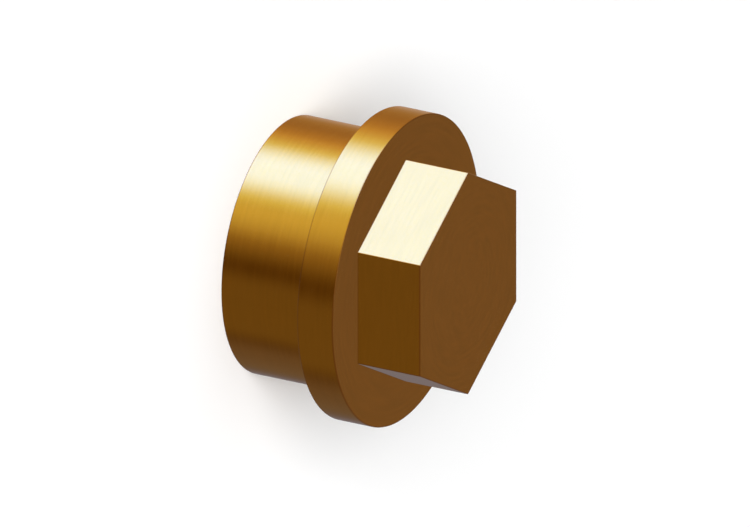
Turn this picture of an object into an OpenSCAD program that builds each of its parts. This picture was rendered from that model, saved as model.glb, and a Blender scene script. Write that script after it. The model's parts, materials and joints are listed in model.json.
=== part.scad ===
// Manifold end cap, turned from brass in one piece.
// The round spigot goes into the end port of a manifold, the flange seats on
// the face of the port, and the hexagon head takes a spanner. The spigot is
// hollow, open at its free end.
// Millimetres. The axis is Z, and Z = 0 is the free end of the spigot, on which
// the cap stands with its hexagon up. X is square to a flat of the hexagon.

/* [Spigot] */
// Outside diameter of the spigot
spigot_d = 26.4; // [22:0.1:30]
// Length of the spigot, from its free end to the flange
spigot_len = 10; // [6:0.5:24]
// Radius that the turning tool leaves in the corner under the flange
root_r = 0.3; // [0.1:0.1:1]

/* [Flange] */
// Diameter of the flange
flange_d = 32; // [29:0.5:48]
// Thickness of the flange
flange_t = 4; // [3:0.5:8]

/* [Hexagon head] */
// Distance across the flats of the hexagon
hex_af = 21; // [14:0.5:26]
// Height of the hexagon above the flange
hex_h = 7; // [4:0.5:14]
// Width of the strip of turned surface left on each corner of the hexagon
hex_land = 0.1; // [0.05:0.05:1.5]

/* [Hollow] */
// Thickness of the spigot's wall round the hollow
wall = 3; // [2:0.1:5]
// Thickness of the closed end, from the hollow's floor to the flange's outer face
end_t = 3; // [2:0.5:6]
// Radius in the corner of the hollow's floor
floor_r = 1.5; // [0.5:0.1:3]
// Size of the chamfer at the hollow's mouth
mouth_chamfer = 0.5; // [0.2:0.1:1]

/* [Edges] */
// Size of the 45 degree break on the outer edges
edge_break = 0.1; // [0.05:0.05:0.4]

/* [Hidden] */
$fn = 96;

// Levels up the axis: the flange's two faces and the top of the hexagon
seat_z = spigot_len;
face_z = seat_z + flange_t;
top_z = face_z + hex_h;

// The hexagon is cut on a round blank a little smaller than its sharp corners,
// so that a strip of the blank, hex_land wide, is left on each corner
hex_sides = 6;
corner_r = hex_af / sqrt(3);
corner_cut = hex_land / 2 / tan(60);
blank_r = norm([corner_r - corner_cut, hex_land / 2]);

hollow_r = spigot_d / 2 - wall;
hollow_depth = face_z - end_t;

// How far a cutting shape runs on past the face that it opens
overrun = mouth_chamfer;

// Cutter for a 45 degree break, with its middle on the corner of an outline
module break_cutter(size) {
    rotate(45)
        square(size * sqrt(2), center = true);
}

// Metal left by the round nose of the tool in the corner at the origin, between
// a wall on the left and a face above
module root_fillet(radius) {
    difference() {
        translate([0, -radius])
            square(radius);
        translate([radius, -radius])
            circle(radius);
    }
}

// Half section of the spigot and the flange
module turned_outline() {
    difference() {
        union() {
            square([spigot_d / 2, face_z]);
            translate([0, seat_z])
                square([flange_d / 2, flange_t]);
            translate([spigot_d / 2, seat_z])
                root_fillet(root_r);
        }
        translate([spigot_d / 2, 0])
            break_cutter(edge_break);
        for (z = [seat_z, face_z])
            translate([flange_d / 2, z])
                break_cutter(edge_break);
    }
}

// Half section of the hollow, with its chamfered mouth and its rounded floor
module hollow_outline() {
    translate([0, -overrun])
        square([hollow_r, overrun + hollow_depth - floor_r]);
    square([hollow_r - floor_r, hollow_depth]);
    translate([hollow_r - floor_r, hollow_depth - floor_r])
        circle(floor_r);
    translate([hollow_r, 0])
        break_cutter(mouth_chamfer);
}

// Two opposite flats seen end on, with the edge over each of them broken
module pair_of_flats() {
    difference() {
        translate([-hex_af / 2, seat_z])
            square([hex_af, top_z - seat_z]);
        for (side = [-1, 1])
            translate([side * hex_af / 2, top_z])
                break_cutter(edge_break);
    }
}

// The flats are cut in opposite pairs, and the hexagon is what all the cuts leave
module hexagon() {
    intersection_for (pass = [1 : hex_sides / 2])
        rotate(pass * 360 / hex_sides)
            rotate([90, 0, 0])
                linear_extrude(2 * corner_r, center = true)
                    pair_of_flats();
}

// The hexagon cut on its round blank. Both reach down through the flange.
module head() {
    intersection() {
        translate([0, 0, seat_z])
            cylinder(h = top_z - seat_z, r = blank_r);
        hexagon();
    }
}

module end_cap() {
    color("#c89a35")
        difference() {
            union() {
                rotate_extrude()
                    turned_outline();
                head();
            }
            rotate_extrude()
                hollow_outline();
        }
}

end_cap();
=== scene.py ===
"""Looks of a turned brass manifold end cap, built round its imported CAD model.

The file is laid out as an add-on and is run as a script. The cap stands on the free end of
its spigot with the hexagon up. Lengths are in metres, and MM turns a millimetre into them.
"""

import json
import math

import bpy
import numpy as np
from bpy.props import FloatProperty, FloatVectorProperty, PointerProperty
from mathutils import Matrix, Vector


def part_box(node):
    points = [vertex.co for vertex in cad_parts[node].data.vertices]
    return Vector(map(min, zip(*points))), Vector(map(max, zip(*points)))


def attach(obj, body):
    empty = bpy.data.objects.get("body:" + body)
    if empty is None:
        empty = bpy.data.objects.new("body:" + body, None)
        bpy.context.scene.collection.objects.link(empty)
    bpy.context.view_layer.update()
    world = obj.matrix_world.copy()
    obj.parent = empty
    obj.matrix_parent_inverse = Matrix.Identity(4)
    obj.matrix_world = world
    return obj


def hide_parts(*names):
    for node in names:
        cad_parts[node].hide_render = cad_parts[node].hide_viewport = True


bl_info = {
    "name": "Manifold end cap",
    "version": (1, 0, 0),
    "blender": (4, 5, 0),
    "location": "View3D > Sidebar > End cap",
    "description": "Models a turned brass end cap, finishes its surfaces and lights it",
    "category": "Add Mesh",
}

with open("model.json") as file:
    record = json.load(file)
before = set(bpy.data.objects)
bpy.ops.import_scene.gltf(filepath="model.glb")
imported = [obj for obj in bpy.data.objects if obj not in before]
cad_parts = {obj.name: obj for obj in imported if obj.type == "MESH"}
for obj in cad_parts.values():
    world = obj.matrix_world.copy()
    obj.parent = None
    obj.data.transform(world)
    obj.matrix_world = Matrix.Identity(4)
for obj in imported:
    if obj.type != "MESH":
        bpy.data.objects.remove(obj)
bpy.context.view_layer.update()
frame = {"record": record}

MM = 0.001
NODE = "end_cap"

# The highest corner of the CAD node's box
NODE_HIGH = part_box(NODE)[1]


def mount(name):
    """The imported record's mount of that name."""
    return next(m for m in frame["record"]["mounts"] if m["name"] == name)


def linear(code):
    """Linear colour, with alpha, of an sRGB hex code such as #D9D9D6.

    Each part of it, over 255, becomes ((part + 0.055) / 1.055) to the power 2.4, or part / 12.92
    where it is at most 0.04045.
    """
    srgb = np.array([int(code[i:i + 2], 16) for i in (1, 3, 5)]) / 255
    low, high = srgb / 12.92, ((srgb + 0.055) / 1.055) ** 2.4
    return (*np.where(srgb <= 0.04045, low, high), 1.0)


# Sizes, finish and studio


class CapSizes(bpy.types.PropertyGroup):
    """Sizes of the cap. Those that the frame gives come from it."""

    spigot_radius: FloatProperty(
        name="Spigot radius", description="Outside radius of the spigot",
        default=mount("spigot")["dims"]["r_mm"] * MM, unit="LENGTH")
    spigot_length: FloatProperty(
        name="Spigot length", description="From the spigot's free end to the flange's seat",
        default=mount("seat")["pos_m"][2], unit="LENGTH")
    root_radius: FloatProperty(
        name="Root radius", description="Radius in the corner under the flange",
        default=0.3 * MM, unit="LENGTH")
    flange_radius: FloatProperty(
        name="Flange radius", description="Radius of the round flange",
        default=NODE_HIGH.x, unit="LENGTH")
    flange_thickness: FloatProperty(
        name="Flange thickness", description="From the seat to the flange's outer face",
        default=4 * MM, unit="LENGTH")
    hex_apothem: FloatProperty(
        name="Half across flats", description="From the axis to a flat of the hexagon",
        default=mount("spanner_flat_a")["pos_m"][0], unit="LENGTH")
    hex_land: FloatProperty(
        name="Corner land", description="Width of the turned strip on each corner of the hexagon",
        default=0.1 * MM, unit="LENGTH")
    height: FloatProperty(
        name="Height", description="From the spigot's free end to the top of the hexagon",
        default=NODE_HIGH.z, unit="LENGTH")
    edge_radius: FloatProperty(
        name="Edge radius", description="Radius to which the outer edges are broken",
        default=0.1 * MM, unit="LENGTH")
    hollow_radius: FloatProperty(
        name="Hollow radius", description="Radius of the hollow in the spigot",
        default=10.2 * MM, unit="LENGTH")
    hollow_depth: FloatProperty(
        name="Hollow depth", description="From the spigot's free end to the hollow's floor",
        default=11 * MM, unit="LENGTH")
    floor_radius: FloatProperty(
        name="Floor radius", description="Radius in the corner of the hollow's floor",
        default=1.5 * MM, unit="LENGTH")
    mouth_chamfer: FloatProperty(
        name="Mouth chamfer", description="Size of the chamfer at the hollow's mouth",
        default=0.5 * MM, unit="LENGTH")


class CapFinish(bpy.types.PropertyGroup):
    """Colour of the brass."""

    brass: FloatVectorProperty(
        name="Brass", description="Colour of clean bright brass",
        default=linear("#CF9E50")[:3], subtype="COLOR", size=3)


class StudioSettings(bpy.types.PropertyGroup):
    """Camera and light."""

    frame_width: FloatProperty(
        name="Frame width", description="Width of the picture at the cap",
        default=74.985 * MM, unit="LENGTH")
    view_turn: FloatProperty(
        name="View turn", description="How far the camera goes round from the hexagon's end",
        default=math.radians(62.6), subtype="ANGLE")
    view_rise: FloatProperty(
        name="View rise", description="How far the camera then rises towards the cap's Y axis",
        default=math.radians(23.87), subtype="ANGLE")
    soft_box: FloatProperty(
        name="Soft box", description="How bright the floor's soft box is, where 1 is white",
        default=11.0)
    daylight: FloatProperty(
        name="Daylight", description="How bright the light from all round is, where 1 is white",
        default=0.45)


# Surfaces

# Spacing of the mesh along the outline, round the axis and beside each rounded edge
OUTLINE_STEP = 1.2 * MM
ANGLE_STEP = math.radians(1.25)
SUPPORT = 0.04 * MM
ARC_STEPS = 6

# Radius of the corner where the hexagon stands on the flange
FOOT_RADIUS = 0.03 * MM

# The hexagon's sides, and half the angle that each takes up round the axis
SIDES = 6
HALF_SIDE = math.pi / SIDES

# A column is on a corner's land up to this many times the land's half width from the corner. It
# is a little over 1, so that the columns on the land's own borders are never left out.
LAND_MARGIN = 1.01

# The outline's legs, in order, each with the finish that its surface has
LEGS = {
    "hollow_floor": "bored",
    "hollow_wall": "bored",
    "mouth": "bored",
    "free_end": "faced",
    "spigot": "turned",
    "seat": "faced",
    "rim": "turned",
    "flange_face": "faced",
    "flats": "milled",
    "end_face": "faced",
}
FLANGE_FACE = list(LEGS).index("flange_face")
FLATS = list(LEGS).index("flats")

# The mesh attribute that tells the finishes how far a point is on an edge, from 0 to 1. They paint
# shade along the edges by it.
EDGE_SHADE_ATTRIBUTE = "edge"


def corner_arc(before, corner, after, radius):
    """Points of the arc that rounds the corner of an outline.

    The arc's centre is on the corner's bisector, at radius / sin(half the angle between the
    legs). Its points turn evenly round that centre, from one leg to the other: seen from the
    centre, each is the arc's two ends, weighted by the sine of its angle from the other end, over
    the sine of the whole arc.
    """
    leg_in = (before - corner) / np.linalg.norm(before - corner)
    leg_out = (after - corner) / np.linalg.norm(after - corner)
    half = 0.5 * math.acos(leg_in @ leg_out)
    bisector = (leg_in + leg_out) / np.linalg.norm(leg_in + leg_out)
    centre = corner + bisector * radius / math.sin(half)
    start = corner + leg_in * radius / math.tan(half) - centre
    end = corner + leg_out * radius / math.tan(half) - centre
    sweep = math.pi - 2 * half
    share = np.linspace(0, 1, ARC_STEPS + 1)[:, None]
    weighted = np.sin((1 - share) * sweep) * start + np.sin(share * sweep) * end
    return centre + weighted / math.sin(sweep)


def straight(start, end):
    """Points on the straight line between two arcs, without its ends.

    They are evenly spaced, and the first and last lie SUPPORT from the ends, so that the
    shading of the arcs doesn't spread over the flat between them.
    """
    length = np.linalg.norm(end - start)
    count = max(int(length / OUTLINE_STEP), 1) + 1
    along = np.linspace(SUPPORT, length - SUPPORT, count)[:, None]
    return start + (end - start) / length * along


def rounded_outline(corners, radii):
    """An outline with its corners rounded: its points, the leg of each, and which are on arcs.

    The corners are (reach, height) pairs, and the first and last stay as they are. The points
    of an arc belong to the leg that leaves its corner.
    """
    arcs = [corners[:1]]
    for before, corner, after, radius in zip(corners, corners[1:], corners[2:], radii):
        arcs.append(corner_arc(before, corner, after, radius))
    arcs.append(corners[-1:])
    points, legs, rounding = [], [], []
    for leg, (arc, following) in enumerate(zip(arcs, arcs[1:])):
        line = straight(arc[-1], following[0])
        points += [arc, line]
        legs += [leg] * (len(arc) + len(line))
        rounding += [1.0] * len(arc) + [0.0] * len(line)
    points.append(arcs[-1])

    # The outline's first point is a plain end, not an arc
    rounding[0] = 0.0
    return np.concatenate(points), np.array(legs + legs[-1:]), np.array(rounding + [0.0])


def ring_angles(land_angle, support_angle):
    """Angles of the columns.

    From each corner of the hexagon they run both ways to the middles of its sides: the corner
    itself, the border of its land, a column just beyond that, and then even steps.
    """
    steps = np.linspace(ANGLE_STEP, HALF_SIDE, int(HALF_SIDE / ANGLE_STEP))
    offsets = np.concatenate([[0, land_angle, land_angle + support_angle], steps])
    offsets = np.concatenate([-offsets[-2:0:-1], offsets])
    corners = HALF_SIDE + np.arange(SIDES) * 2 * HALF_SIDE
    return (corners[:, None] + offsets).ravel()


def around(reach, angles, height):
    """Grid of points, each at its reach from the axis, its angle round it and its height.

    X and Y are the reach times the cosine and the sine of the angle, and Z is the height.
    """
    return np.stack(np.broadcast_arrays(
        reach * np.cos(angles), reach * np.sin(angles), height), axis=-1)


def cap_surface(sizes):
    """The cap's whole skin as one grid: its points, each row's leg, and how far each is an edge.

    A point's two parameters are its place along the outline and its angle round the axis. The
    outline runs from the middle of the hollow's floor, out and down to the spigot's free end,
    up the outside and over the hexagon to the middle of its end face. Where the outline is
    round, a point's distance from the axis is its reach. Where it is hexagonal, that is the
    reach over the cosine of the angle from the middle of the side, and no more than the radius
    of the turned blank. On the flange's outer face, where the blank's radius grows with the
    reach, the one passes evenly into the other.
    """
    face_z = sizes.spigot_length + sizes.flange_thickness
    mouth, edge = sizes.mouth_chamfer, sizes.edge_radius
    corners = np.array([
        (0, sizes.hollow_depth),
        (sizes.hollow_radius, sizes.hollow_depth),
        (sizes.hollow_radius, mouth),
        (sizes.hollow_radius + mouth, 0),
        (sizes.spigot_radius, 0),
        (sizes.spigot_radius, sizes.spigot_length),
        (sizes.flange_radius, sizes.spigot_length),
        (sizes.flange_radius, face_z),
        (sizes.hex_apothem, face_z),
        (sizes.hex_apothem, sizes.height),
        (0, sizes.height),
    ])
    radii = [sizes.floor_radius, edge, edge, edge, sizes.root_radius, edge, edge, FOOT_RADIUS, edge]
    outline, legs, rounding = rounded_outline(corners, radii)

    corner_reach = sizes.hex_apothem / math.cos(HALF_SIDE)
    corner_cut = sizes.hex_land / 2 / math.tan(2 * HALF_SIDE)
    blank_radius = math.hypot(corner_reach - corner_cut, sizes.hex_land / 2)
    land_angle = HALF_SIDE - math.acos(sizes.hex_apothem / blank_radius)
    angles = ring_angles(land_angle, SUPPORT / blank_radius)

    reach, height = outline[:, 0, None], outline[:, 1, None]
    from_side = (angles + HALF_SIDE) % (2 * HALF_SIDE) - HALF_SIDE
    blank_limit = blank_radius + np.maximum(reach - sizes.hex_apothem, 0)
    hexagonal = np.minimum(reach / np.cos(from_side), blank_limit)
    round_reach = sizes.flange_radius - edge - SUPPORT
    share = np.clip((round_reach - reach) / (round_reach - sizes.hex_apothem), 0, 1)
    share = np.where(legs[:, None] < FLANGE_FACE, 0, share)
    grid = around((1 - share) * reach + share * hexagonal, angles, height)
    # The lands on the hexagon's corners count as edges too, so that the finishes paint shade along
    # them
    land_start = HALF_SIDE - LAND_MARGIN * land_angle
    on_land = (legs[:, None] == FLATS) & (np.abs(from_side) > land_start)
    return grid, legs, np.maximum(rounding[:, None], on_land)


def grid_faces(grid, first_pole=False):
    """Points and faces of a grid whose rows go round the axis.

    Each square of the grid is a quad. The last row is a pole, which is one point, closed by a
    fan of triangles, and the first row may be one too. The faces come row by row, in the grid's
    order.
    """
    columns = grid.shape[1]
    body = grid[int(first_pole):-1]
    points = [grid[0, :1]] * first_pole + [body.reshape(-1, 3), grid[-1, :1]]
    rings = int(first_pole) + np.arange(body.shape[0] * columns).reshape(-1, columns)
    following = np.roll(rings, -1, axis=1)
    faces = []
    if first_pole:
        faces += np.stack([np.zeros_like(rings[0]), following[0], rings[0]], axis=-1).tolist()
    quads = np.stack([rings[:-1], following[:-1], following[1:], rings[1:]], axis=-1)
    faces += quads.reshape(-1, 4).tolist()
    pole = np.full_like(rings[0], rings.max() + 1)
    faces += np.stack([rings[-1], following[-1], pole], axis=-1).tolist()
    return np.concatenate(points), faces


def smooth_mesh(name, points, faces):
    """A mesh of those points and faces, shaded smooth."""
    mesh = bpy.data.meshes.new(name)
    mesh.from_pydata(points, [], faces)
    mesh.polygons.foreach_set("use_smooth", np.ones(len(faces), bool))
    return mesh


def add_values(mesh, name, values):
    """Gives each of the mesh's points a value, which materials read by that name."""
    attribute = mesh.attributes.new(name, "FLOAT", "POINT")
    attribute.data.foreach_set("value", values.astype(np.float32))


def cap_mesh(grid, legs, edges):
    """The cap's mesh. A face takes the finish of the outline's leg that it lies on."""
    mesh = smooth_mesh("cap_body", *grid_faces(grid, first_pole=True))
    finishes = list(FINISHES)
    row_slots = np.array([finishes.index(finish) for finish in LEGS.values()])[legs[:-1]]
    slots = np.repeat(row_slots, grid.shape[1])
    mesh.polygons.foreach_set("material_index", slots.astype(np.int32))
    # How far each point is on an edge: the finishes paint shade along the edges by it
    edge_shade_mask = np.concatenate([edges[0, :1], edges[1:-1].ravel(), edges[-1, :1]])
    add_values(mesh, EDGE_SHADE_ATTRIBUTE, edge_shade_mask)
    mesh.update()
    return mesh


# Finishes

# The brass, by how each surface was cut. Pitch is about the spacing of the grooves that show,
# depth is how deep they are, and drift is how far the colour changes from one to the next. A
# real feed of about 0.1 mm is too fine to show in the render, so the grooves are drawn three to
# five times as coarse. Anisotropic is how far they stretch the highlights.
FINISHES = {
    # Bright, with fine rings round the axis that draw a highlight out along it
    "turned": dict(
        pitch=0.3 * MM, depth=0.003 * MM, drift=0.06, roughness=0.18, anisotropic=0.5),
    # A little duller, with rings round the middle of the face that differ more in colour
    "faced": dict(
        pitch=0.35 * MM, depth=0.002 * MM, drift=0.12, roughness=0.22, anisotropic=0.3),
    # Smooth and even, with the cutter's straight marks along each flat
    "milled": dict(
        pitch=0.3 * MM, depth=0.002 * MM, drift=0.06, roughness=0.2, anisotropic=0.2,
        on_lathe=False),
    # The dullest, with deeper and coarser rings from a long thin tool
    "bored": dict(
        pitch=0.5 * MM, depth=0.006 * MM, drift=0.1, roughness=0.28, anisotropic=0.5),
}

# How fast a groove wavers, in units of its noise for each radian round the axis
WAVER = 3.0

# How many finer layers the noise of the grooves has, and between which values it mostly stays
GROOVE_DETAIL = 1.0
GROOVE_LOW = 0.3
GROOVE_HIGH = 0.7

# How far the roughness changes from one groove to the next
ROUGHNESS_DRIFT = 0.03

# The patches in which the metal's colour drifts: their size, how many finer layers their noise
# has, and how far the colour drifts in them
CLOUD_SIZE = 6 * MM
CLOUD_DETAIL = 3.0
CLOUD_DRIFT = 0.04

# Painted shade along the broken edges and the corner lands: how much of its red, green and blue
# the metal keeps there, which draws thin dark lines along them
PAINTED_EDGE_SHADE = (0.78, 0.68, 0.58)

# Anisotropic rotation, in turns. The tangent runs along the grooves, and a quarter turn from it
# stretches the highlights across them.
QUARTER_TURN = 0.25

# The film of oil: how much of the metal it covers, and how rough it is
OIL_COVER = 1.0
OIL_ROUGHNESS = 0.1


def new_material(name):
    """An empty node material and its tree."""
    material = bpy.data.materials.new(name)
    material.use_nodes = True
    material.node_tree.nodes.clear()
    return material, material.node_tree


def add_node(tree, kind, inputs=None, **settings):
    """Adds a node with its settings. An input is another node's output or a plain value."""
    node = tree.nodes.new(kind)
    for name, value in settings.items():
        setattr(node, name, value)
    for socket, value in (inputs or {}).items():
        if isinstance(value, bpy.types.NodeSocket):
            tree.links.new(value, node.inputs[socket])
        else:
            node.inputs[socket].default_value = value
    return node


def brass_finish(name, brass, pitch, depth, drift, roughness, anisotropic, on_lathe=True):
    """Bare brass as a cutting tool leaves it.

    Brass gives strong golden reflections and no diffuse colour, and the film of oil that is left
    on it adds a faint clear one. The tool leaves grooves, which stretch the highlights across
    them, and each groove wavers a little, so that the edge of a reflection breaks up into short
    streaks. The grooves are a noise. On the lathe they run round the axis, because the noise is
    read at the reach plus the height, in pitches, and at a point that goes round a circle as the
    surface goes round the axis. Off the lathe it is read at the height alone, which gives the
    straight marks of a milling cutter. The colour and the roughness change a little from groove
    to groove, and the colour drifts from place to place too. Along the broken edges and the
    corner lands the colour is darkened, as painted shade that draws thin dark lines there.
    """
    material, tree = new_material(name)
    place = add_node(tree, "ShaderNodeTexCoord").outputs["Object"]
    spoke = add_node(
        tree, "ShaderNodeVectorMath", {0: place, 1: (1, 1, 0)}, operation="MULTIPLY")
    reach = add_node(
        tree, "ShaderNodeVectorMath", {0: spoke.outputs["Vector"]}, operation="LENGTH")
    heading = add_node(
        tree, "ShaderNodeVectorMath", {0: spoke.outputs["Vector"]}, operation="NORMALIZE")
    height = add_node(tree, "ShaderNodeSeparateXYZ", {0: place})
    along = add_node(
        tree, "ShaderNodeMath",
        {0: reach.outputs["Value"], 1: float(on_lathe), 2: height.outputs["Z"]},
        operation="MULTIPLY_ADD")
    pitches = add_node(
        tree, "ShaderNodeMath", {0: along.outputs["Value"], 1: pitch}, operation="DIVIDE")
    groove = add_node(tree, "ShaderNodeCombineXYZ", {"Z": pitches.outputs["Value"]})
    circle = add_node(
        tree, "ShaderNodeVectorMath", {0: heading.outputs["Vector"], "Scale": WAVER},
        operation="SCALE")
    groove_place = add_node(
        tree, "ShaderNodeVectorMath",
        {0: circle.outputs["Vector"], 1: groove.outputs["Vector"]}, operation="ADD")
    grooves = add_node(
        tree, "ShaderNodeTexNoise",
        {"Vector": groove_place.outputs["Vector"], "Scale": 1.0, "Detail": GROOVE_DETAIL})
    clouds = add_node(
        tree, "ShaderNodeTexNoise",
        {"Vector": place, "Scale": 1 / CLOUD_SIZE, "Detail": CLOUD_DETAIL})

    base = np.array(brass)
    patchy = add_node(
        tree, "ShaderNodeMix",
        {"Factor": clouds.outputs["Fac"],
         "A": (*base * (1 - CLOUD_DRIFT), 1),
         "B": (*base * (1 + CLOUD_DRIFT), 1)},
        data_type="RGBA")
    shade = add_node(
        tree, "ShaderNodeMapRange",
        {"Value": grooves.outputs["Fac"], "To Min": 1 - drift, "To Max": 1 + drift})
    streaky = add_node(
        tree, "ShaderNodeVectorMath",
        {0: patchy.outputs["Result"], "Scale": shade.outputs["Result"]}, operation="SCALE")
    # Along the broken edges and the corner lands the colour is darkened: painted shade that draws
    # thin dark lines
    edge = add_node(tree, "ShaderNodeAttribute", attribute_name=EDGE_SHADE_ATTRIBUTE)
    metal = add_node(
        tree, "ShaderNodeMix",
        {"Factor": edge.outputs["Fac"],
         "A": streaky.outputs["Vector"],
         "B": (*base * PAINTED_EDGE_SHADE, 1)},
        data_type="RGBA")
    rough = add_node(
        tree, "ShaderNodeMapRange",
        {"Value": grooves.outputs["Fac"],
         "From Min": GROOVE_LOW,
         "From Max": GROOVE_HIGH,
         "To Min": roughness - ROUGHNESS_DRIFT,
         "To Max": roughness + ROUGHNESS_DRIFT})
    bump = add_node(
        tree, "ShaderNodeBump",
        {"Height": grooves.outputs["Fac"], "Strength": 1.0, "Distance": depth})
    tangent = add_node(tree, "ShaderNodeTangent", direction_type="RADIAL", axis="Z")
    shader = add_node(
        tree, "ShaderNodeBsdfPrincipled",
        {"Base Color": metal.outputs["Result"],
         "Metallic": 1.0,
         "Roughness": rough.outputs["Result"],
         "Normal": bump.outputs["Normal"],
         "Tangent": tangent.outputs["Tangent"],
         "Anisotropic": anisotropic,
         "Anisotropic Rotation": QUARTER_TURN,
         "Coat Weight": OIL_COVER,
         "Coat Roughness": OIL_ROUGHNESS})
    add_node(tree, "ShaderNodeOutputMaterial", {"Surface": shader.outputs["BSDF"]})
    return material


# Stage

# The floor: its flat part, the curve at its edge, and the steps of its mesh along each of the two
# and round them. It is matte white paper.
FLOOR_RADIUS = 1.1
CURVE_RADIUS = 0.25
FLOOR_STEPS = 24
FLOOR_COLUMNS = 96
PAPER = "#FAFAFA"

# The panels stand round the cap on a circle of this radius, with their lower edges at this height
PANEL_DISTANCE = 0.6
PANEL_LOW = -1.2

# The heights of the panels' upper edges: of the lights, and of the cards that end at the horizon
LIGHT_TOP = 0.8
CARD_TOP = 0.02

# The panels that the cap mirrors. For each: the azimuth of its middle, from the X axis towards
# the Y axis, its span and how far in from its ends it fades, all in degrees, the height of its
# upper edge, its brightness and its colour. Brass reflects little blue, and yet the photo's
# highlight is cream and not yellow. So the key light is blue and the glow round it pale green.
PANELS = {
    "key": (89, 62, 25, LIGHT_TOP, 5.1, "#4076FF"),
    "key_glow": (89, 84, 28, LIGHT_TOP, 0.76, "#B9FFC0"),
    "fill": (98.5, 121, 28, LIGHT_TOP, 0.53, "#F0FF96"),
    "warm_fill": (100, 160, 34, LIGHT_TOP, 0.333, "#FFDE77"),
    "gold_card": (15, 102, 23, CARD_TOP, 0.305, "#FFC06D"),
    "side_card": (278, 72, 26, CARD_TOP, 0.067, "#FFFDF4"),
    "cool_card": (331, 82, 34, CARD_TOP, 0.152, "#B3D1FF"),
    "back_card": (217, 78, 18, CARD_TOP, 0.089, "#FFE88D"),
}
PANEL_COLUMNS = 33

# The mesh attribute that says how far across its panel a point is, from 0 to 1
ACROSS_ATTRIBUTE = "across"

# The folds of the panels' fabric: their width in degrees, how many finer layers their noise has,
# and how far they change the brightness
FOLD_WIDTH = 6
FOLD_DETAIL = 1.0
FOLD_DEPTH = 0.08

# The soft box that lights the floor stands behind the camera, so that most of the cap's shadow
# falls out of its sight: its heading from the X axis, its rise, its distance and its size
BOX_HEADING = math.radians(153.5)
BOX_RISE = math.radians(25)
BOX_DISTANCE = 5.0
BOX_SIZE = 3.6

# The room that the cap mirrors: its colours below and above the horizon, and its pale ceiling
ROOM_LOW = "#614511"
ROOM_HIGH = "#856840"
CEILING = "#E6DDBE"

# As sines of the angle above the horizon: half the span over which the room's two colours blend,
# and where the ceiling begins
HORIZON_BLEND = 0.2
CEILING_START = 0.94

# Where the photo shows the middle of the flange's outer face, and the photo's size, in pixels
FACE_PIXEL = (406.16, 270.54)
PHOTO_SIZE = (750, 527)

# How far the camera stands from the flange's outer face, and between which distances it sees
CAMERA_DISTANCE = 0.25
CLIP_START = 1 * MM
CLIP_END = 3.0


def link(obj):
    """Puts an object into the scene and gives it back."""
    bpy.context.scene.collection.objects.link(obj)
    return obj


def add_floor():
    """A seamless floor of matte white paper, a flat disc that curves up at its edge.

    A point's two parameters are its place along the section, which is a straight line and then
    a quarter of a circle, and its angle round the middle. The paper scatters light evenly, with
    no gloss. In the photo the cap stands on nothing, so it mirrors the lower half of the room
    through the floor, which neither shows in its reflections nor casts a shadow.
    """
    flat = np.linspace(0, FLOOR_RADIUS, FLOOR_STEPS)
    turn = np.linspace(0, math.pi / 2, FLOOR_STEPS)[1:]
    reach = np.concatenate([flat, FLOOR_RADIUS + CURVE_RADIUS * np.sin(turn)])
    height = np.concatenate([np.zeros_like(flat), CURVE_RADIUS * (1 - np.cos(turn))])
    angles = np.linspace(0, 2 * math.pi, FLOOR_COLUMNS, endpoint=False)
    grid = around(reach[:, None], angles, height[:, None])
    mesh = smooth_mesh("floor", *grid_faces(grid[::-1]))
    material, tree = new_material("matte white paper")
    paper = add_node(tree, "ShaderNodeBsdfDiffuse", {"Color": linear(PAPER)})
    add_node(tree, "ShaderNodeOutputMaterial", {"Surface": paper.outputs["BSDF"]})
    mesh.materials.append(material)
    floor = link(bpy.data.objects.new("floor", mesh))
    floor.visible_glossy = False
    floor.visible_shadow = False


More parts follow.
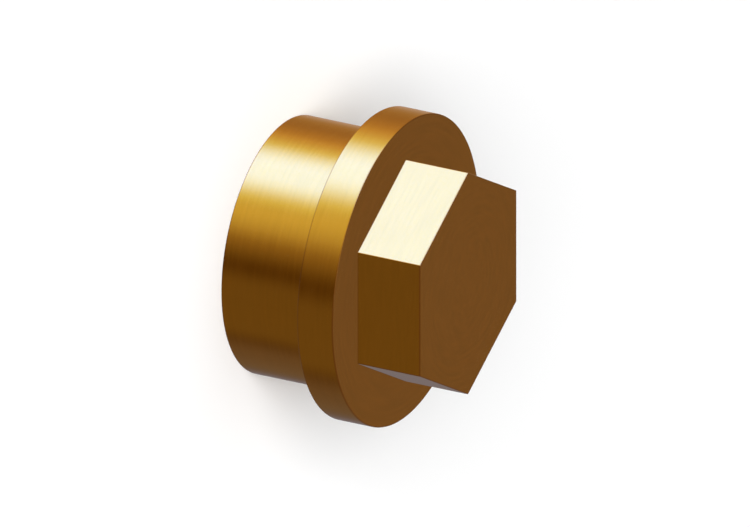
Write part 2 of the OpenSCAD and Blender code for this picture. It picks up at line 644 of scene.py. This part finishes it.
def add_panel(name, azimuth, span, feather, top, brightness, colour):
    """A glowing panel that the cap mirrors: a part of a cylinder round the cap.

    A point's two parameters are its angle round the cap and its height. The panel's brightness
    rises smoothly from nothing at its ends to the full value a feather's width inside them: the
    distance from the nearer end is the place across, folded back at a half. Its fabric hangs in
    soft folds. It adds its light to what lies behind it, and only the cap's reflections show it.
    """
    angles = np.radians(np.linspace(azimuth - span / 2, azimuth + span / 2, PANEL_COLUMNS))
    heights = np.array([PANEL_LOW, top])
    grid = around(PANEL_DISTANCE, angles[:, None], heights)
    lower, upper = np.arange(grid[..., 0].size).reshape(-1, len(heights)).T
    quads = np.stack([lower[:-1], upper[:-1], upper[1:], lower[1:]], axis=-1)
    mesh = smooth_mesh(name, grid.reshape(-1, 3), quads.tolist())
    add_values(mesh, ACROSS_ATTRIBUTE, np.repeat(np.linspace(0, 1, PANEL_COLUMNS), len(heights)))

    material, tree = new_material(name + " fabric")
    place = add_node(tree, "ShaderNodeAttribute", attribute_name=ACROSS_ATTRIBUTE)
    from_end = add_node(
        tree, "ShaderNodeMath", {0: place.outputs["Fac"], 1: 0.5}, operation="PINGPONG")
    full = add_node(
        tree, "ShaderNodeMapRange",
        {"Value": from_end.outputs["Value"], "From Max": feather / span},
        interpolation_type="SMOOTHSTEP")
    folds = add_node(
        tree, "ShaderNodeTexNoise",
        {"W": place.outputs["Fac"], "Scale": span / FOLD_WIDTH, "Detail": FOLD_DETAIL},
        noise_dimensions="1D")
    folded = add_node(
        tree, "ShaderNodeMapRange",
        {"Value": folds.outputs["Fac"],
         "To Min": brightness * (1 - FOLD_DEPTH),
         "To Max": brightness * (1 + FOLD_DEPTH)})
    strength = add_node(
        tree, "ShaderNodeMath", {0: full.outputs["Result"], 1: folded.outputs["Result"]},
        operation="MULTIPLY")
    glow = add_node(
        tree, "ShaderNodeEmission",
        {"Color": linear(colour), "Strength": strength.outputs["Value"]})
    clear = add_node(tree, "ShaderNodeBsdfTransparent")
    both = add_node(
        tree, "ShaderNodeAddShader", {0: glow.outputs["Emission"], 1: clear.outputs["BSDF"]})
    add_node(tree, "ShaderNodeOutputMaterial", {"Surface": both.outputs["Shader"]})
    mesh.materials.append(material)

    # The panel is only there for the cap to mirror, so it isn't sampled as a lamp
    material.cycles.emission_sampling = "NONE"
    panel = link(bpy.data.objects.new(name, mesh))
    panel.visible_camera = False
    panel.visible_diffuse = False
    panel.visible_shadow = False


def add_soft_box(brightness):
    """The lamp that lights the floor and gives the cap its soft shadow.

    A flat lamp of pi watts to the square metre glows at 1, which is white. The cap doesn't
    mirror it.
    """
    lamp = bpy.data.lights.new("soft_box", "AREA")
    lamp.shape = "SQUARE"
    lamp.size = BOX_SIZE
    lamp.energy = brightness * math.pi * BOX_SIZE ** 2
    box = link(bpy.data.objects.new("soft_box", lamp))
    away = Vector((
        math.cos(BOX_HEADING) * math.cos(BOX_RISE),
        math.sin(BOX_HEADING) * math.cos(BOX_RISE),
        math.sin(BOX_RISE)))
    box.location = away * BOX_DISTANCE
    box.rotation_euler = away.to_track_quat("Z", "Y").to_euler()
    box.visible_camera = False
    box.visible_glossy = False


def light_room(daylight):
    """Plain light from all round, and the dim room that the cap mirrors instead of it."""
    world = bpy.data.worlds.new("dim room")
    bpy.context.scene.world = world
    world.use_nodes = True
    tree = world.node_tree
    tree.nodes.clear()
    direction = add_node(tree, "ShaderNodeTexCoord")
    rise = add_node(tree, "ShaderNodeSeparateXYZ", {"Vector": direction.outputs["Generated"]})
    above = add_node(
        tree, "ShaderNodeMapRange",
        {"Value": rise.outputs["Z"], "From Min": -HORIZON_BLEND, "From Max": HORIZON_BLEND},
        interpolation_type="SMOOTHSTEP")
    walls = add_node(
        tree, "ShaderNodeMix",
        {"Factor": above.outputs["Result"], "A": linear(ROOM_LOW), "B": linear(ROOM_HIGH)},
        data_type="RGBA")
    overhead = add_node(
        tree, "ShaderNodeMapRange", {"Value": rise.outputs["Z"], "From Min": CEILING_START},
        interpolation_type="SMOOTHSTEP")
    colour = add_node(
        tree, "ShaderNodeMix",
        {"Factor": overhead.outputs["Result"],
         "A": walls.outputs["Result"],
         "B": linear(CEILING)},
        data_type="RGBA")
    room = add_node(tree, "ShaderNodeBackground", {"Color": colour.outputs["Result"]})
    plain = add_node(
        tree, "ShaderNodeBackground", {"Color": linear("#FFFFFF"), "Strength": daylight})
    ray = add_node(tree, "ShaderNodeLightPath")
    both = add_node(
        tree, "ShaderNodeMixShader",
        {0: ray.outputs["Is Glossy Ray"],
         1: plain.outputs["Background"],
         2: room.outputs["Background"]})
    add_node(tree, "ShaderNodeOutputWorld", {"Surface": both.outputs["Shader"]})


def place_camera(studio, face_z):
    """A camera without perspective that sees the cap as the photo does.

    It starts on the cap's axis, facing the hexagon with the Y axis up, goes round by the view's
    turn and rises by its rise, and is then shifted until the middle of the flange's outer face
    is at its pixel.
    """
    data = bpy.data.cameras.new("camera")
    data.type = "ORTHO"
    data.sensor_fit = "HORIZONTAL"
    data.ortho_scale = studio.frame_width
    data.clip_start = CLIP_START
    data.clip_end = CLIP_END
    camera = link(bpy.data.objects.new("camera", data))
    turn = Matrix.Rotation(-studio.view_turn, 4, "Y") @ Matrix.Rotation(-studio.view_rise, 4, "X")
    width, height = PHOTO_SIZE
    across, down = FACE_PIXEL
    shift = Vector((width / 2 - across, down - height / 2, 0)) * (studio.frame_width / width)
    away = Vector((0, 0, CAMERA_DISTANCE))
    face = Matrix.Translation(Vector((0, 0, face_z)))
    camera.matrix_world = face @ turn @ Matrix.Translation(shift + away)
    bpy.context.scene.camera = camera


# Operators


class ENDCAP_OT_build_cap(bpy.types.Operator):
    """Models the cap, finishes it and puts it in the CAD node's place"""

    bl_idname = "endcap.build_cap"
    bl_label = "Build the cap"

    def execute(self, context):
        mesh = cap_mesh(*cap_surface(context.scene.cap_sizes))
        brass = context.scene.cap_finish.brass
        for finish, marks in FINISHES.items():
            mesh.materials.append(brass_finish(finish + " brass", brass, **marks))
        cap = link(bpy.data.objects.new("cap_body", mesh))

        # The cap doesn't mirror itself, as in the photo
        cap.visible_glossy = False
        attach(cap, "root")
        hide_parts(NODE)
        return {"FINISHED"}


class ENDCAP_OT_set_stage(bpy.types.Operator):
    """Makes the floor, the lights, the room and the camera"""

    bl_idname = "endcap.set_stage"
    bl_label = "Set the stage"

    def execute(self, context):
        studio = context.scene.studio
        sizes = context.scene.cap_sizes
        add_floor()
        for name, panel in PANELS.items():
            add_panel(name, *panel)
        add_soft_box(studio.soft_box)
        light_room(studio.daylight)
        place_camera(studio, sizes.spigot_length + sizes.flange_thickness)
        return {"FINISHED"}


class ENDCAP_PT_panel(bpy.types.Panel):
    """Lists the steps that build the cap and its stage"""

    bl_label = "Manifold end cap"
    bl_idname = "ENDCAP_PT_panel"
    bl_space_type = "VIEW_3D"
    bl_region_type = "UI"
    bl_category = "End cap"

    def draw(self, context):
        self.layout.operator(ENDCAP_OT_build_cap.bl_idname)
        self.layout.operator(ENDCAP_OT_set_stage.bl_idname)


GROUPS = {"cap_sizes": CapSizes, "cap_finish": CapFinish, "studio": StudioSettings}
CLASSES = (*GROUPS.values(), ENDCAP_OT_build_cap, ENDCAP_OT_set_stage, ENDCAP_PT_panel)


def register():
    """Registers the classes and gives the scene its groups of settings."""
    for cls in CLASSES:
        bpy.utils.register_class(cls)
    for name, group in GROUPS.items():
        setattr(bpy.types.Scene, name, PointerProperty(type=group))


def unregister():
    """Takes back what register gave."""
    for name in GROUPS:
        delattr(bpy.types.Scene, name)
    for cls in reversed(CLASSES):
        bpy.utils.unregister_class(cls)


def main():
    """Builds everything in order."""
    register()
    bpy.ops.endcap.build_cap()
    bpy.ops.endcap.set_stage()
    bpy.context.scene.view_settings.view_transform = "Standard"


if __name__ == "__main__":
    main()
